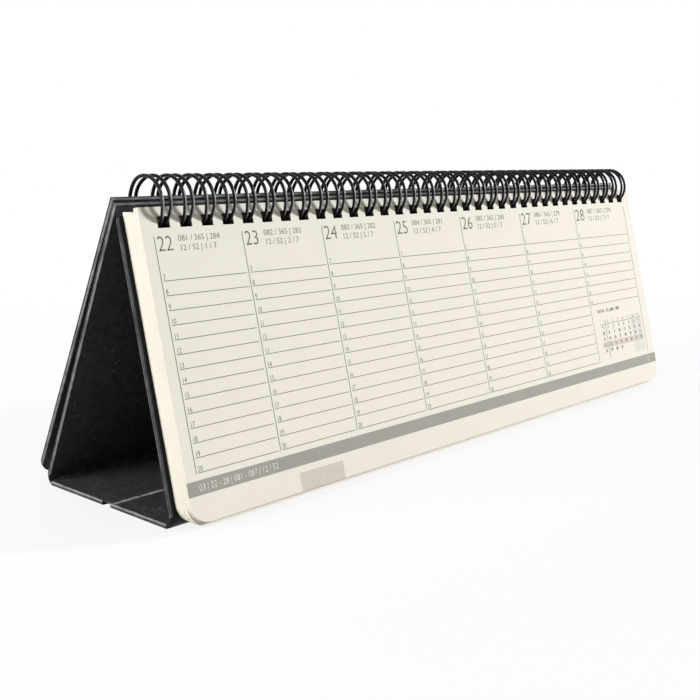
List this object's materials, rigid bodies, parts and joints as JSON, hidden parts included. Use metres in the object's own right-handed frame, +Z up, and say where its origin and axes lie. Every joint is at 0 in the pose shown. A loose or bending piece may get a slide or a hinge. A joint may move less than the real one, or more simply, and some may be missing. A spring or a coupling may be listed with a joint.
{
  "type": "desk diary",
  "caption": "Landscape desk diary: a block of sheets hung on a twin-loop wire, in a leatherette case that folds into a tent-shaped easel with a turn-over cover.",
  "frame": {"origin": "middle of the bounding box, at the table it stands on", "axes": "+X along the long side of the sheets to the reader's right, -Y towards the reader, +Z up"},
  "size_m": [0.301, 0.0838, 0.106],
  "materials": {
    "paper": "uncoated cream",
    "leatherette": "fine grain, satin black",
    "lining": "smooth matt black",
    "board": "grey board",
    "wire": "gloss black coated steel wire"
  },
  "bodies": {
    "easel_front": {"front_panel_leatherette": "leatherette", "front_panel_board": "board", "front_panel_lining": "lining", "leaves_01": "paper", "leaves_02": "paper", "leaves_03": "paper", "leaves_04": "paper", "leaves_05": "paper", "leaves_06": "paper", "leaves_07": "paper", "leaves_08": "paper", "leaves_09": "paper", "leaves_10": "paper", "twin_loop_wire": "wire", "front_corner_hinge": "leatherette"},
    "front_leaf": {"front_leaf": "paper"},
    "front_cover": {"cover_leatherette": "leatherette", "cover_board": "board", "cover_lining": "lining"},
    "easel_rear": {"rear_panel_leatherette": "leatherette", "rear_panel_board": "board", "rear_panel_lining": "lining"},
    "base_front": {"front_base_leatherette": "leatherette", "front_base_board": "board", "front_base_lining": "lining", "base_crease_hinge": "leatherette"},
    "base_rear": {"rear_base_leatherette": "leatherette", "rear_base_board": "board", "rear_base_lining": "lining", "rear_corner_hinge": "leatherette"}
  },
  "joints": [
    {"name": "leaf_turn", "type": "hinge", "parent": "easel_front", "child": "front_leaf", "pos_m": [0, -0.01302, 0.097], "axis": [-1, 0, 0], "range_deg": [0, 172]},
    {"name": "cover_turn", "type": "hinge", "parent": "easel_front", "child": "front_cover", "pos_m": [0, -0.01398, 0.097], "axis": [1, 0, 0], "range_deg": [0, 158]},
    {"name": "easel_fold", "type": "hinge", "parent": "easel_front", "child": "easel_rear", "pos_m": [0, -0.01348, 0.097], "axis": [-1, 0, 0], "range_deg": [0, 6.27]},
    {"name": "front_base_fold", "type": "hinge", "parent": "easel_front", "child": "base_front", "pos_m": [0, -0.03066, 0.00028], "axis": [1, 0, 0], "range_deg": [0, 28], "deforming": ["front_corner_hinge", "base_crease_hinge"]},
    {"name": "rear_base_fold", "type": "hinge", "parent": "easel_rear", "child": "base_rear", "pos_m": [0, 0.03309, 0.00028], "axis": [-1, 0, 0], "range_deg": [0, 29.8], "deforming": ["rear_corner_hinge"]}
  ],
  "couplings": [
    {"joint": "front_base_fold", "follows": "easel_fold", "ratio": 4.4614},
    {"joint": "rear_base_fold", "follows": "easel_fold", "ratio": 4.7489}
  ]
}
